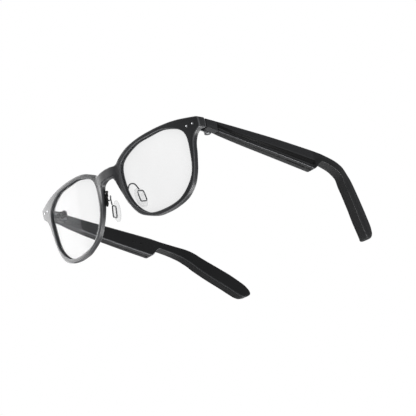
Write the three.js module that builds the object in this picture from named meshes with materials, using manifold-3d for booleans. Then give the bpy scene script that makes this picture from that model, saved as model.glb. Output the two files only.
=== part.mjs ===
// Audio smart glasses: a full-rim front with two lenses and wire-mounted nose pads, and two hollow
// temples that fold on metal hinges and hold the electronics.
// Millimetres. X runs across the face (+X is the wearer's left), the front faces -Y, the temples run
// along +Y and +Z is up. The glasses stand open on the bottoms of the rims and the tips of the temples,
// and the origin is below the middle of the object, on that surface.
import * as THREE from "three";
import { mergeVertices } from "three/addons/utils/BufferGeometryUtils.js";
import { TessellateModifier } from "three/addons/modifiers/TessellateModifier.js";
import Module from "manifold-3d";

const wasm = await Module();
wasm.setup();

// ---- driving dimensions ----
const GAP = 0.3; // between pieces that touch
const REST_TILT = THREE.MathUtils.degToRad(6.3); // the front leans forward at the top by this angle

// Front, in its own upright axes: the lens centres lie at height 0 and the middle of the bridge at y = 0.
const RIM_DEPTH = 3.4;
const LIP = 0.8; // thickness of the rim in front of and behind the lens groove
const GROOVE = 0.9; // how far the groove reaches under the rim
const LENS_CENTRE = 36.5;
const HALF_WIDTH = 70.8;
const WRAP_CURVE = 0.0015; // the front curves back as this times x squared
const WRAP_END = 1.4; // and by this much more at its ends
const OPENING = [
  [24.5, 0], [23.6, 13.7], [12, 20.6], [0, 21.4], [-12, 20.5], [-24, 14],
  [-25, 0], [-21, -12], [-12, -20.8], [0, -23.2], [12.3, -21.3], [21.6, -12.4],
];
const BROW = [
  [0, 16.6], [4.5, 15.7], [8.5, 15.4], [12, 18.1], [19, 21.5], [28, 23.3],
  [38, 23.8], [48, 23.5], [58, 22.3], [HALF_WIDTH, 19.2],
];
const UNDERSIDE = [
  [HALF_WIDTH, 13.2], [66.8, 10.2], [64.6, 5.5], [63.6, 0], [62.5, -5], [60.8, -11.2],
  [57.4, -17.9], [51.6, -22.9], [43.6, -25.2], [36, -25.6], [28.8, -24.6], [18.5, -19.4],
  [12, -10.3], [8.4, -1.4], [6.9, 3.5], [5.2, 8], [2.6, 10.2], [0, 10.6],
];
const OUTLINE_STEPS = 3; // sides for each span between two points of an outline
const LENS_SIDES = 72;
const LONGEST_EDGE = 9; // of a face that is bent to the wrap of the front

// End piece behind each upper corner of the front.
const END_INNER_X = 67.1;
const END_BACK = 14.7;
const END_BOTTOM = 13.2;
const END_TOP = 19.2;

const RIVET_X = [63.3, 67];
const RIVET_HEIGHT = 16;
const RIVET_RADIUS = 0.7;
const RIVET_PROUD = 0.25;
const RIVET_DEPTH = 1.4;

// Hinge, in standing axes: its pivot stands upright.
const PIVOT = new THREE.Vector2(65, 19.5);
const KNUCKLE_RADIUS = 2;
const SCREW_RADIUS = 0.8;
const SCREW_HEAD_RADIUS = 1.4;
const SCREW_HEAD = 0.5;
const HINGE_BOTTOM = 14.3;
const HINGE_TOP = 19.3;
const MIDDLE_KNUCKLE = [15.9, 17.7];
const LEAF_X = [65.7, 66.7];
const LEAF_FRONT = 9.8;
const LEAF_BACK = 17.2;
const LEAF_SCREW = [12.6, 16.8];
const LEAF_SCREW_RADIUS = 0.9;
const LEAF_THICKNESS = 0.8;
const LEAF_REACH = 15; // of the temple's leaf behind the pivot
const LEAF_DROP = 0.08; // how far that leaf drops for each millimetre back

// Temple, in standing axes: each station is the y and z of the top edge, the y and z of the bottom
// edge, the x of the outer face and the width. The keel ends in a step up to the neck.
const KEEL = [
  [13.5, 20.3, 13.5, 14.3, 70.9, 3.5],
  [38, 18.8, 37.8, 10.5, 73.5, 5.1],
  [68, 17.5, 68, 6.7, 75.4, 5.8],
  [98.5, 15.9, 98, 3.2, 76.6, 6.2],
];
const NECK_AND_TIP = [
  [106.5, 15.1, 105.4, 10, 77, 6.2],
  [119, 13.6, 117.4, 7.8, 76.4, 6.2],
  [127.4, 12.1, 125.5, 4.9, 75, 6.2],
  [131.6, 10.7, 128.1, 2.8, 73.8, 6.2],
  [135.9, 8.4, 130.9, 0.4, 72.4, 6.2],
  [140.3, 5.4, 134.3, -2.9, 71.1, 6.2],
  [149, -0.8, 142.4, -9.9, 67.5, 6.2],
  [157.8, -7.4, 150.4, -16.4, 63.7, 6.3],
  [166.7, -15.2, 159.1, -23.4, 59.9, 6.3],
  [173, -21.3, 163, -25.3, 57.5, 6.3],
];
// Places along a temple: 0 to 1 is the keel, 1 to 2 the step and 2 to 3 the neck and tip.
const SLEEVE_END = 0.135;
const SHELL_START = 0.14;
const TEMPLE_END = 3;
const WALL = 0.9;
const END_WALL = 0.02; // as a share of a place
const COVER = 0.9;
const MIC_PLACES = [0.68, 0.95];
const MIC_RADIUS = 0.6;
const VENT = [0.74, 0.9];
const VENT_WIDTH = 1.4;
const CONTACTS = [0.8, 0.87];
const CONTACT_RADIUS = 0.9;
const CONTACT_PROUD = 0.15;
// Sealed pieces in the keel and the tip, between the shell's wall and the cover.
const BOARD = [0.19, 0.6];
const SPEAKER = [0.68, 0.93];
const TOUCH = [0.19, 0.62];
const BATTERY = [2.6, 2.94];
const FLEX = [0.96, 2.57];
const FLEX_WIDTH = 1.8;
const BOARD_THICKNESS = 0.8;
const FILM_THICKNESS = 0.3;
const SHELL_ROOM = WALL + GAP;
const COVER_ROOM = COVER + GAP + GAP;

// Nose pad, in the front's upright axes.
const PAD_CENTRE = new THREE.Vector3(10.6, 13, -5);
const PAD_FACING = new THREE.Vector3(-0.95, 0.28, -0.16);
const PAD_UP = new THREE.Vector3(-0.17, 0, 0.98);
const PAD_SIZE = [7.4, 13.2, 2.4];
const CAGE_SIZE = [3.4, 7.4, 0.9];
const CAGE_BAR = 0.8;
const WIRE_RADIUS = 0.5;
const WIRE = [
  [8.3, 5, 0.2], [8, 6.6, 0.6], [8.3, 7.8, 3], [9.4, 8.9, 3.9], [11, 10.2, 3], [12.2, 11.4, -0.6],
];
const BRACKET = [
  [5.8, 5.4], [8.7, -3.6], [7.7, -3.9], [6.6, -0.4], [6.9, -0.2], [4.9, 5.1],
];
const BRACKET_Y = [1.9, 4.5];

// ---- materials ----
const finish = (color, roughness, metalness) =>
  new THREE.MeshStandardMaterial({ color, roughness, metalness });
const graphite = () => finish(0x35363a, 0.4, 0);
const charcoal = () => finish(0x222327, 0.5, 0);
const sleeveGrey = () => finish(0x4c4d52, 0.45, 0.2);
const darkSteel = () => finish(0x6b6c70, 0.35, 1);
const steel = () => finish(0xc9cbce, 0.25, 1);
const clearLens = () => finish(0xf2f4f6, 0.05, 0);
const clearSilicone = () => finish(0xe8eaec, 0.3, 0);
const boardGreen = () => finish(0x1d4a33, 0.6, 0);
const cellSilver = () => finish(0x9b9da1, 0.4, 0.6);
const meshBlack = () => finish(0x0d0d0f, 0.7, 0.3);
const film = () => finish(0xb26a2e, 0.5, 0.2);
const nickel = () => finish(0x3a3a3b, 0.4, 1);

// ---- solids ----
// A closed geometry as a solid that can be joined and cut.
function solid(geometry) {
  const bare = new THREE.BufferGeometry();
  const source = geometry.index ? geometry.toNonIndexed() : geometry;
  bare.setAttribute("position", source.getAttribute("position"));
  const merged = mergeVertices(bare, 1e-4);
  const vertProperties = merged.attributes.position.array;
  const triVerts = new Uint32Array(merged.index.array);
  return new wasm.Manifold(new wasm.Mesh({ numProp: 3, vertProperties, triVerts }));
}

// A solid as a geometry, with flat-shaded faces.
function geometryOf(body) {
  const { vertProperties, triVerts } = body.getMesh();
  const geometry = new THREE.BufferGeometry();
  geometry.setAttribute("position", new THREE.BufferAttribute(new Float32Array(vertProperties), 3));
  geometry.setIndex(new THREE.BufferAttribute(new Uint32Array(triVerts), 1));
  const faceted = geometry.toNonIndexed();
  faceted.computeVertexNormals();
  return faceted;
}

// Moves every vertex of a geometry to where the rule puts it.
function reshape(geometry, rule) {
  const position = geometry.getAttribute("position");
  const point = new THREE.Vector3();
  for (let i = 0; i < position.count; i++) {
    point.fromBufferAttribute(position, i);
    rule(point);
    position.setXYZ(i, point.x, point.y, point.z);
  }
  geometry.computeVertexNormals();
  return geometry;
}

function box(x, y, z) {
  const size = [x, y, z].map(([low, high]) => high - low);
  const centre = [x, y, z].map(([low, high]) => (low + high) / 2);
  return new THREE.BoxGeometry(...size).translate(...centre);
}

// An upright cylinder between two heights.
function post(radius, x, y, [low, high], sides = 24) {
  const cylinder = new THREE.CylinderGeometry(radius, radius, high - low, sides);
  return cylinder.rotateX(Math.PI / 2).translate(x, y, (low + high) / 2);
}

// A flat outline in x and z, given a depth along y from front to back.
function slab(shape, front, back) {
  const depth = back - front;
  const extruded = new THREE.ExtrudeGeometry(shape, { depth, bevelEnabled: false });
  return extruded.rotateX(Math.PI / 2).translate(0, back, 0);
}

function smooth(points) {
  const curve = new THREE.SplineCurve(points.map(([x, z]) => new THREE.Vector2(x, z)));
  return curve.getPoints((points.length - 1) * OUTLINE_STEPS);
}

// ---- front ----
const wrap = (x) => WRAP_CURVE * x * x + WRAP_END * (Math.abs(x) / HALF_WIDTH) ** 6;

// The lens opening grown by a margin, as a closed curve around the lens centre.
function openingPoint(turn, margin) {
  const knots = OPENING.map(([x, z]) => new THREE.Vector3(x, z, 0));
  const curve = new THREE.CatmullRomCurve3(knots, true, "catmullrom", 0.5);
  const point = curve.getPoint(turn);
  return point.setLength(point.length() + margin);
}

function openingShape(side, margin) {
  const points = [];
  for (let i = 0; i < LENS_SIDES; i++) {
    const point = openingPoint(i / LENS_SIDES, margin);
    points.push(new THREE.Vector2(side * (LENS_CENTRE + point.x), point.y));
  }
  return new THREE.Shape(side > 0 ? points : points.reverse());
}

function frontOutline() {
  const left = [...smooth(BROW), ...smooth(UNDERSIDE)];
  const right = left.map((p) => new THREE.Vector2(-p.x, p.y)).reverse();
  return [...left, ...right.slice(1, -1)];
}

function wrapped(geometry) {
  return reshape(geometry, (point) => {
    point.y += wrap(point.x);
  });
}

function rivetPin(side, x, radius, front, back) {
  const pin = new THREE.CylinderGeometry(radius, radius, back - front, 16);
  return pin.translate(side * x, wrap(x) + (front + back) / 2, RIVET_HEIGHT);
}

function frontFrame() {
  const shape = new THREE.Shape(frontOutline());
  shape.holes = [1, -1].map((side) => openingShape(side, 0));
  let flat = solid(slab(shape, 0, RIM_DEPTH));
  for (const side of [1, -1])
    flat = flat.subtract(solid(slab(openingShape(side, GROOVE), LIP, RIM_DEPTH - LIP)));
  const fine = new TessellateModifier(LONGEST_EDGE, 20).modify(geometryOf(flat));
  let body = solid(wrapped(fine));
  for (const side of [1, -1]) {
    const ends = [END_INNER_X, HALF_WIDTH].map((x) => side * x).sort((a, b) => a - b);
    const startY = wrap(END_INNER_X) + LIP;
    body = body.add(solid(box(ends, [startY, END_BACK], [END_BOTTOM, END_TOP])));
    for (const x of RIVET_X)
      body = body.subtract(solid(rivetPin(side, x, RIVET_RADIUS + GAP, -1, RIVET_DEPTH + GAP)));
  }
  return geometryOf(body);
}

// A lens follows the opening, reaches into the groove and curves with the front.
function lens() {
  const depth = RIM_DEPTH - 2 * LIP - 2 * GAP;
  const disc = new THREE.CylinderGeometry(1, 1, depth, LENS_SIDES);
  reshape(disc, (point) => {
    const turn = (Math.atan2(point.z, point.x) / (2 * Math.PI) + 1) % 1;
    const edge = openingPoint(turn, GROOVE - GAP).multiplyScalar(Math.hypot(point.x, point.z));
    point.set(LENS_CENTRE + edge.x, RIM_DEPTH / 2 + point.y, edge.y);
  });
  return wrapped(disc);
}

// ---- hinge ----
// Flat bars joined to a knuckle, with a hole for the screw.
function knuckled(bars, knuckles) {
  const rounds = knuckles.map((span) => post(KNUCKLE_RADIUS, PIVOT.x, PIVOT.y, span));
  const joined = [...bars, ...rounds].map(solid).reduce((body, bar) => body.add(bar));
  const hole = post(SCREW_RADIUS + GAP, PIVOT.x, PIVOT.y, [HINGE_BOTTOM - 1, HINGE_TOP + 1]);
  return geometryOf(joined.subtract(solid(hole)));
}

function hingeFrontLeaf() {
  const lugs = [
    [HINGE_BOTTOM, MIDDLE_KNUCKLE[0] - GAP],
    [MIDDLE_KNUCKLE[1] + GAP, HINGE_TOP],
  ];
  const plate = box(LEAF_X, [LEAF_FRONT, LEAF_BACK], [HINGE_BOTTOM, HINGE_TOP]);
  const webs = lugs.map((span) => box([PIVOT.x, LEAF_X[1]], [LEAF_BACK - 1, PIVOT.y], span));
  return knuckled([plate, ...webs], lugs);
}

function hingeTempleLeaf() {
  const plateX = (y) => innerFace(y) - GAP - LEAF_THICKNESS / 2;
  const span = [PIVOT.y + KNUCKLE_RADIUS + GAP, PIVOT.y + LEAF_REACH];
  const half = LEAF_THICKNESS / 2;
  const plate = box([-half, half], span, [HINGE_BOTTOM + 0.6, HINGE_TOP - 0.6]);
  reshape(plate, (point) => {
    point.x += plateX(point.y);
    point.z -= (point.y - span[0]) * LEAF_DROP;
  });
  const webX = [PIVOT.x, plateX(span[0]) + half];
  return knuckled([plate, box(webX, [PIVOT.y, span[0] + 0.6], MIDDLE_KNUCKLE)], [MIDDLE_KNUCKLE]);
}

function hingeScrew() {
  const shank = post(SCREW_RADIUS, PIVOT.x, PIVOT.y, [HINGE_BOTTOM, HINGE_TOP + GAP + 0.1]);
  const head = [HINGE_TOP + GAP, HINGE_TOP + GAP + SCREW_HEAD];
  const slotZ = [head[1] - 0.2, head[1] + 1];
  const slot = box([PIVOT.x - 2, PIVOT.x + 2], [PIVOT.y - 0.2, PIVOT.y + 0.2], slotZ);
  const cap = solid(post(SCREW_HEAD_RADIUS, PIVOT.x, PIVOT.y, head));
  return geometryOf(solid(shank).add(cap).subtract(solid(slot)));
}

function leafScrew() {
  const head = new THREE.CylinderGeometry(LEAF_SCREW_RADIUS, LEAF_SCREW_RADIUS, 0.5, 16);
  return head.rotateZ(Math.PI / 2).translate(LEAF_X[0] - GAP - 0.25, ...LEAF_SCREW);
}

// ---- temple ----
// The station at a place along a row of stations, on a smooth curve through them.
function between(stations, share) {
  const last = stations.length - 1;
  const at = Math.min(share * last, last - 1e-9);
  const i = Math.floor(at);
  const t = at - i;
  const [a, b, c, d] = [i - 1, i, i + 1, i + 2].map((n) => stations[Math.min(Math.max(n, 0), last)]);
  return b.map((value, k) => {
    const rise = (c[k] - a[k]) / 2;
    const leave = (d[k] - b[k]) / 2;
    const bend = 3 * (c[k] - value) - 2 * rise - leave;
    const twist = 2 * (value - c[k]) + rise + leave;
    return value + t * (rise + t * (bend + t * twist));
  });
}

function section(place) {
  if (place <= 1) return between(KEEL, place);
  if (place >= 2) return between(NECK_AND_TIP, place - 2);
  const start = KEEL.at(-1);
  const end = NECK_AND_TIP[0];
  return start.map((value, k) => THREE.MathUtils.lerp(value, end[k], place - 1));
}

// The x of a temple's inner face at a distance y along the keel.
function innerFace(y) {
  let place = 0;
  while (section(place)[0] < y) place += 0.005;
  const [, , , , outer, width] = section(place);
  return outer - width;
}

// The places where a block's cross-sections lie: close together in the bend, with the step's own ends.
function places(from, to) {
  const marks = [];
  for (let place = 0; place <= 1.001; place += 1 / 9) marks.push(place);
  for (let place = 2; place <= 3.001; place += 1 / 18) marks.push(place);
  const inside = marks.filter((place) => place > from + 0.01 && place < to - 0.01);
  return [from, ...inside, to];
}

// A block that follows a temple between two places. Across gives its two sides as distances from the
// outer face, and up gives its bottom and top as distances from the bottom edge.
function templeBlock(from, to, across, up) {
  const rows = places(from, to);
  const block = new THREE.BoxGeometry(1, 1, 1, 1, rows.length - 1, 1);
  return reshape(block, (point) => {
    const row = Math.round((point.y + 0.5) * (rows.length - 1));
    const [topY, topZ, bottomY, bottomZ, outer, width] = section(rows[row]);
    const height = Math.hypot(topY - bottomY, topZ - bottomZ);
    const share = up(height)[point.z > 0 ? 1 : 0] / height;
    point.set(
      outer - across(width)[point.x > 0 ? 0 : 1],
      THREE.MathUtils.lerp(bottomY, topY, share),
      THREE.MathUtils.lerp(bottomZ, topZ, share),
    );
  });
}

const fullWidth = (width) => [0, width];
const fullHeight = (height) => [0, height];
const insideHeight = (height) => [WALL, height - WALL];

function connectorSleeve() {
  return templeBlock(0, SLEEVE_END, fullWidth, fullHeight);
}

// A point on the middle of a temple's underside.
function undersidePoint(place) {
  const [, , y, z, outer, width] = section(place);
  return [outer - (width - COVER) / 2, y, z];
}

function micPlug(place, radius, low, high) {
  const [x, y, z] = undersidePoint(place);
  return post(radius, x, y, [z + low, z + high], 12);
}

function ventBlock(margin, low, high) {
  const middle = (width) => (width - COVER) / 2;
  const half = VENT_WIDTH / 2 + margin;
  const across = (width) => [middle(width) - half, middle(width) + half];
  const step = margin / 90;
  return templeBlock(VENT[0] - step, VENT[1] + step, across, () => [low, high]);
}

function outerShell() {
  const skin = templeBlock(SHELL_START, TEMPLE_END, (width) => [0, width - COVER - GAP], fullHeight);
  const open = (width) => [WALL, width + 1];
  const hollow = templeBlock(SHELL_START + END_WALL, TEMPLE_END - END_WALL, open, insideHeight);
  let body = solid(skin).subtract(solid(hollow)).subtract(solid(ventBlock(GAP, -1, WALL + 1)));
  for (const place of MIC_PLACES)
    body = body.subtract(solid(micPlug(place, MIC_RADIUS + GAP, -1, WALL + 1)));
  return geometryOf(body);
}

// A round pin across the inner cover, between two distances from the inner face.
function contactPin(place, radius, from, to) {
  const [topY, topZ, bottomY, bottomZ, outer, width] = section(place);
  const pin = new THREE.CylinderGeometry(radius, radius, to - from, 16).rotateZ(Math.PI / 2);
  const x = outer - width + (from + to) / 2;
  return pin.translate(x, (topY + bottomY) / 2, (topZ + bottomZ) / 2);
}

function innerCover() {
  const lid = templeBlock(SHELL_START, TEMPLE_END, (width) => [width - COVER, width], fullHeight);
  return geometryOf(
    CONTACTS.map((place) => solid(contactPin(place, CONTACT_RADIUS + GAP, -1, COVER + 1)))
      .reduce((body, hole) => body.subtract(hole), solid(lid)),
  );
}

function circuitBoard() {
  const across = (width) => [width - COVER_ROOM - BOARD_THICKNESS, width - COVER_ROOM];
  return templeBlock(...BOARD, across, (height) => [SHELL_ROOM, height - SHELL_ROOM]);
}

function touchFilm() {
  const across = () => [SHELL_ROOM, SHELL_ROOM + FILM_THICKNESS];
  return templeBlock(...TOUCH, across, (height) => [SHELL_ROOM + 0.4, height - SHELL_ROOM - 0.4]);
}

function speaker() {
  const across = (width) => [SHELL_ROOM, width - COVER_ROOM];
  return templeBlock(...SPEAKER, across, (height) => [SHELL_ROOM + 0.5, height - SHELL_ROOM - 0.5]);
}

function flexCable() {
  const across = (width) => [width - COVER_ROOM - FILM_THICKNESS, width - COVER_ROOM];
  const half = FLEX_WIDTH / 2;
  return templeBlock(...FLEX, across, (height) => [height / 2 - half, height / 2 + half]);
}

function battery() {
  const across = (width) => [SHELL_ROOM, width - COVER_ROOM];
  return templeBlock(...BATTERY, across, (height) => [SHELL_ROOM + 0.4, height - SHELL_ROOM - 0.4]);
}

const speakerMesh = () => ventBlock(0, 0.15, 0.75);
const microphone = (place) => micPlug(place, MIC_RADIUS, 0.1, WALL);
const contact = (place) => contactPin(place, CONTACT_RADIUS, -CONTACT_PROUD, COVER);

// ---- nose pad ----
function padBracket() {
  const shape = new THREE.Shape(BRACKET.map(([x, z]) => new THREE.Vector2(x, z)));
  return slab(shape, ...BRACKET_Y);
}

function padWire() {
  const path = new THREE.CatmullRomCurve3(WIRE.map((p) => new THREE.Vector3(...p)));
  const ring = new THREE.Shape().absarc(0, 0, WIRE_RADIUS, 0, 2 * Math.PI);
  return new THREE.ExtrudeGeometry(ring, { extrudePath: path, steps: 24, curveSegments: 8 });
}

function padCage() {
  const [width, height, depth] = CAGE_SIZE;
  const hole = new THREE.BoxGeometry(width - 2 * CAGE_BAR, height - 2 * CAGE_BAR, depth + 1);
  const cage = solid(new THREE.BoxGeometry(width, height, depth)).subtract(solid(hole));
  return geometryOf(cage).translate(0, 0, -PAD_SIZE[2] / 2 - GAP - depth / 2);
}

function nosePad() {
  return new THREE.SphereGeometry(0.5, 24, 16).scale(...PAD_SIZE);
}

// ---- the object ----
const glasses = new THREE.Group();

function add(group, name, geometry, material) {
  const mesh = new THREE.Mesh(geometry, material);
  mesh.name = name;
  group.add(mesh);
}

function addFrontPieces(front, side) {
  add(front, `lens_${side}`, lens(), clearLens());
  RIVET_X.forEach((x, i) => {
    const pin = rivetPin(1, x, RIVET_RADIUS, -RIVET_PROUD, RIVET_DEPTH);
    add(front, `rivet_${side}_${["inner", "outer"][i]}`, pin, steel());
  });
  add(front, `pad_bracket_${side}`, padBracket(), meshBlack());
  add(front, `pad_wire_${side}`, padWire(), steel());
  const pad = new THREE.Group();
  pad.position.copy(PAD_CENTRE);
  pad.setRotationFromMatrix(new THREE.Matrix4().lookAt(PAD_FACING, new THREE.Vector3(), PAD_UP));
  add(pad, `pad_cage_${side}`, padCage(), steel());
  add(pad, `nose_pad_${side}`, nosePad(), clearSilicone());
  front.add(pad);
}

function addTemplePieces(temple, side) {
  add(temple, `hinge_front_leaf_${side}`, hingeFrontLeaf(), darkSteel());
  add(temple, `hinge_temple_leaf_${side}`, hingeTempleLeaf(), darkSteel());
  add(temple, `hinge_screw_${side}`, hingeScrew(), steel());
  add(temple, `leaf_screw_${side}`, leafScrew(), steel());
  add(temple, `connector_sleeve_${side}`, connectorSleeve(), sleeveGrey());
  add(temple, `outer_shell_${side}`, outerShell(), charcoal());
  add(temple, `inner_cover_${side}`, innerCover(), charcoal());
  add(temple, `circuit_board_${side}`, circuitBoard(), boardGreen());
  add(temple, `touch_film_${side}`, touchFilm(), film());
  add(temple, `speaker_${side}`, speaker(), meshBlack());
  add(temple, `speaker_mesh_${side}`, speakerMesh(), meshBlack());
  add(temple, `flex_cable_${side}`, flexCable(), film());
  add(temple, `battery_${side}`, battery(), cellSilver());
  ["front", "rear"].forEach((end, i) => {
    add(temple, `microphone_${side}_${end}`, microphone(MIC_PLACES[i]), meshBlack());
    add(temple, `charging_contact_${side}_${end}`, contact(CONTACTS[i]), nickel());
  });
}

const front = new THREE.Group();
front.rotation.x = REST_TILT;
add(front, "front_frame", frontFrame(), graphite());
glasses.add(front);
for (const [side, sign] of [["left", 1], ["right", -1]]) {
  const frontHalf = new THREE.Group();
  frontHalf.scale.x = sign;
  addFrontPieces(frontHalf, side);
  front.add(frontHalf);
  const temple = new THREE.Group();
  temple.scale.x = sign;
  addTemplePieces(temple, side);
  glasses.add(temple);
}

// The origin goes below the middle of the object, on the surface that it stands on.
const bounds = new THREE.Box3().setFromObject(glasses, true);
const middle = bounds.getCenter(new THREE.Vector3());
glasses.position.set(0, -middle.y, -bounds.min.z);

export default glasses;
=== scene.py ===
"""Audio smart glasses: the looks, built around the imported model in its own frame, in metres.

The front, the lenses, the temples and the nose pads are surfaces of two parameters worked out as whole
arrays. Hinge pieces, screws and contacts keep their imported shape, with rounded edges and a better finish.
"""

import math

import bmesh
import bpy
import numpy as np
from mathutils import Matrix, Vector


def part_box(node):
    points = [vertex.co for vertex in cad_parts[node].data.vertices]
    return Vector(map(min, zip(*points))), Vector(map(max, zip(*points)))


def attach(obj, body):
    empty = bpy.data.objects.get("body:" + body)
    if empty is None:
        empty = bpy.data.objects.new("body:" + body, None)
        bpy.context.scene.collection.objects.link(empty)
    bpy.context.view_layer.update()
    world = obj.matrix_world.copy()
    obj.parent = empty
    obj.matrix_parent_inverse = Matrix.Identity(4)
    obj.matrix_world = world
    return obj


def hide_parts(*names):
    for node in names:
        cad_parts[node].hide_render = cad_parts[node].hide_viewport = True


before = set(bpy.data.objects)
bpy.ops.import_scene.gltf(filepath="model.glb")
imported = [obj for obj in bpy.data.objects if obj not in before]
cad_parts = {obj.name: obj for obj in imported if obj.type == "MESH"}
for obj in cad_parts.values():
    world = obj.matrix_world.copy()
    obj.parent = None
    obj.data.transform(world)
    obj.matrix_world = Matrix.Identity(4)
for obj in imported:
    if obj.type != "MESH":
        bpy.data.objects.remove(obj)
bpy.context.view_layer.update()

MM = 0.001
SIDES = (("left", 1.0), ("right", -1.0))

# ---- the design's axes, placed by the hinge screw in the frame ----
SCREW_LOW, SCREW_HIGH = (np.array(corner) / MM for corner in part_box("hinge_screw_left"))
PIVOT_Y = 19.5  # of the hinge, behind the middle of the bridge
ORIGIN_Y = (SCREW_LOW[1] + SCREW_HIGH[1]) / 2 - PIVOT_Y
HINGE_BOTTOM = 14.3  # in standing axes
ORIGIN_Z = SCREW_LOW[2] - HINGE_BOTTOM
REST_TILT = math.radians(6.3)

# ---- driving dimensions, in millimetres, as in the design ----
RIM_DEPTH = 3.4
LIP = 0.8
GROOVE = 0.9
LENS_CENTRE = 36.5
HALF_WIDTH = 70.8
WRAP_CURVE = 0.0015
WRAP_END = 1.4
OPENING = [
    (24.5, 0), (23.6, 13.7), (12, 20.6), (0, 21.4), (-12, 20.5), (-24, 14),
    (-25, 0), (-21, -12), (-12, -20.8), (0, -23.2), (12.3, -21.3), (21.6, -12.4),
]
BROW = [
    (0, 16.6), (4.5, 15.7), (8.5, 15.4), (12, 18.1), (19, 21.5), (28, 23.3),
    (38, 23.8), (48, 23.5), (58, 22.3), (HALF_WIDTH, 19.2),
]
UNDERSIDE = [
    (HALF_WIDTH, 13.2), (66.8, 10.2), (64.6, 5.5), (63.6, 0), (62.5, -5), (60.8, -11.2),
    (57.4, -17.9), (51.6, -22.9), (43.6, -25.2), (36, -25.6), (28.8, -24.6), (18.5, -19.4),
    (12, -10.3), (8.4, -1.4), (6.9, 3.5), (5.2, 8), (2.6, 10.2), (0, 10.6),
]
END_BACK = 14.7
RIVET_X = (63.3, 67.0)
RIVET_HEIGHT = 16.0

# A temple's stations: y and z of its top edge, y and z of its bottom edge, x of its outer face, width.
# A place along it is 0 to 1 on the keel, 1 to 2 on the step and 2 to 3 on the neck and the tip.
KEEL = [
    (13.5, 20.3, 13.5, 14.3, 70.9, 3.5),
    (38, 18.8, 37.8, 10.5, 73.5, 5.1),
    (68, 17.5, 68, 6.7, 75.4, 5.8),
    (98.5, 15.9, 98, 3.2, 76.6, 6.2),
]
NECK_AND_TIP = [
    (106.5, 15.1, 105.4, 10, 77, 6.2),
    (119, 13.6, 117.4, 7.8, 76.4, 6.2),
    (127.4, 12.1, 125.5, 4.9, 75, 6.2),
    (131.6, 10.7, 128.1, 2.8, 73.8, 6.2),
    (135.9, 8.4, 130.9, 0.4, 72.4, 6.2),
    (140.3, 5.4, 134.3, -2.9, 71.1, 6.2),
    (149, -0.8, 142.4, -9.9, 67.5, 6.2),
    (157.8, -7.4, 150.4, -16.4, 63.7, 6.3),
    (166.7, -15.2, 159.1, -23.4, 59.9, 6.3),
    (173, -21.3, 163, -25.3, 57.5, 6.3),
]
SLEEVE_END = 0.135
SHELL_START = 0.14
COVER = 0.9  # how thick the inner cover is
MIC_PLACES = (0.68, 0.95)
VENT = (0.74, 0.9)

PAD_CENTRE = (10.6, 13.0, -5.0)
PAD_FACING = (-0.95, 0.28, -0.16)
PAD_UP = (-0.17, 0.0, 0.98)
WIRE_RADIUS = 0.42
WIRE = [
    (8.3, 5, 0.2), (8, 6.6, 0.6), (8.3, 7.8, 3), (9.4, 8.9, 3.9), (11, 10.2, 3), (12.2, 11.4, -0.6),
]


# ---- curves ----
def spline(knots, share, closed=False):
    """Points on a smooth curve through the knots: between two knots each coordinate is the cubic whose
    slope at a knot is half the step from the knot before it to the knot after it."""
    knots = np.asarray(knots, float)
    count = len(knots)
    spans = count if closed else count - 1
    at = np.clip(np.asarray(share, float), 0.0, 1.0) * spans
    first = np.minimum(np.floor(at).astype(int), spans - 1)
    t = (at - first)[..., None]
    pick = (lambda n: knots[n % count]) if closed else (lambda n: knots[np.clip(n, 0, count - 1)])
    before, start, end, after = (pick(first + n) for n in (-1, 0, 1, 2))
    leave, arrive = (end - before) / 2, (after - start) / 2
    bend = 3 * (end - start) - 2 * leave - arrive
    twist = 2 * (start - end) + leave + arrive
    return start + t * (leave + t * (bend + t * twist))


def evenly(points, count):
    """The same line with its points spaced evenly along its length."""
    steps = np.linalg.norm(np.diff(points, axis=0), axis=1)
    length = np.concatenate([[0.0], np.cumsum(steps)])
    at = np.linspace(0.0, length[-1], count)
    return np.stack([np.interp(at, length, column) for column in points.T], axis=1)


def eased(points, reach):
    """The line with its corners rounded: each inner point is the mean of its neighbours within reach."""
    padded = np.pad(points, ((reach, reach), (0, 0)), "edge")
    kernel = np.ones(2 * reach + 1) / (2 * reach + 1)
    mean = np.stack([np.convolve(column, kernel, "valid") for column in padded.T], axis=1)
    mean[:reach], mean[-reach:] = points[:reach], points[-reach:]
    return mean


def smoothstep(low, high, value):
    """0 below low, 1 above high and an S-shaped rise between them."""
    t = np.clip((value - low) / (high - low), 0.0, 1.0)
    return t * t * (3 - 2 * t)


def full_turn(count):
    """Angles spaced evenly round a whole turn."""
    return np.arange(count) / count * 2 * math.pi


def superellipse(angle, half_width, half_height, power):
    """The points of an ellipse, its cosine and sine each raised to a power with their signs kept."""
    cos, sin = np.cos(angle), np.sin(angle)
    a = half_width * np.sign(cos) * np.abs(cos) ** power
    b = half_height * np.sign(sin) * np.abs(sin) ** power
    return a, b


# ---- frames of reference ----
def standing(points):
    """From the design's standing axes, in millimetres, to the model's frame in metres."""
    return (np.asarray(points, float) + [0.0, ORIGIN_Y, ORIGIN_Z]) * MM


def leaning(points):
    """From the front's upright axes to the model's frame: a turn about x by the tilt, then as above."""
    x, y, z = np.moveaxis(np.asarray(points, float), -1, 0)
    cos, sin = math.cos(REST_TILT), math.sin(REST_TILT)
    return standing(np.stack([x, y * cos - z * sin, y * sin + z * cos], axis=-1))


def wrap(x):
    """How far back the front curves at x: a square term, and a sixth power that turns up its ends."""
    return WRAP_CURVE * x**2 + WRAP_END * (np.abs(x) / HALF_WIDTH) ** 6


def front_curve(x):
    """The wrap with the bridge bowed forward: an S-shaped step at each end of it and a low crown between."""
    bow = 0.55 * (1 - smoothstep(6.0, 9.5, np.abs(x))) + 0.15 * np.clip(1 - (x / 6) ** 2, 0, 1)
    return wrap(x) - bow


# ---- meshes ----
def shown(name, data):
    """A new object in the scene."""
    made = bpy.data.objects.new(name, data)
    bpy.context.scene.collection.objects.link(made)
    return made


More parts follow.
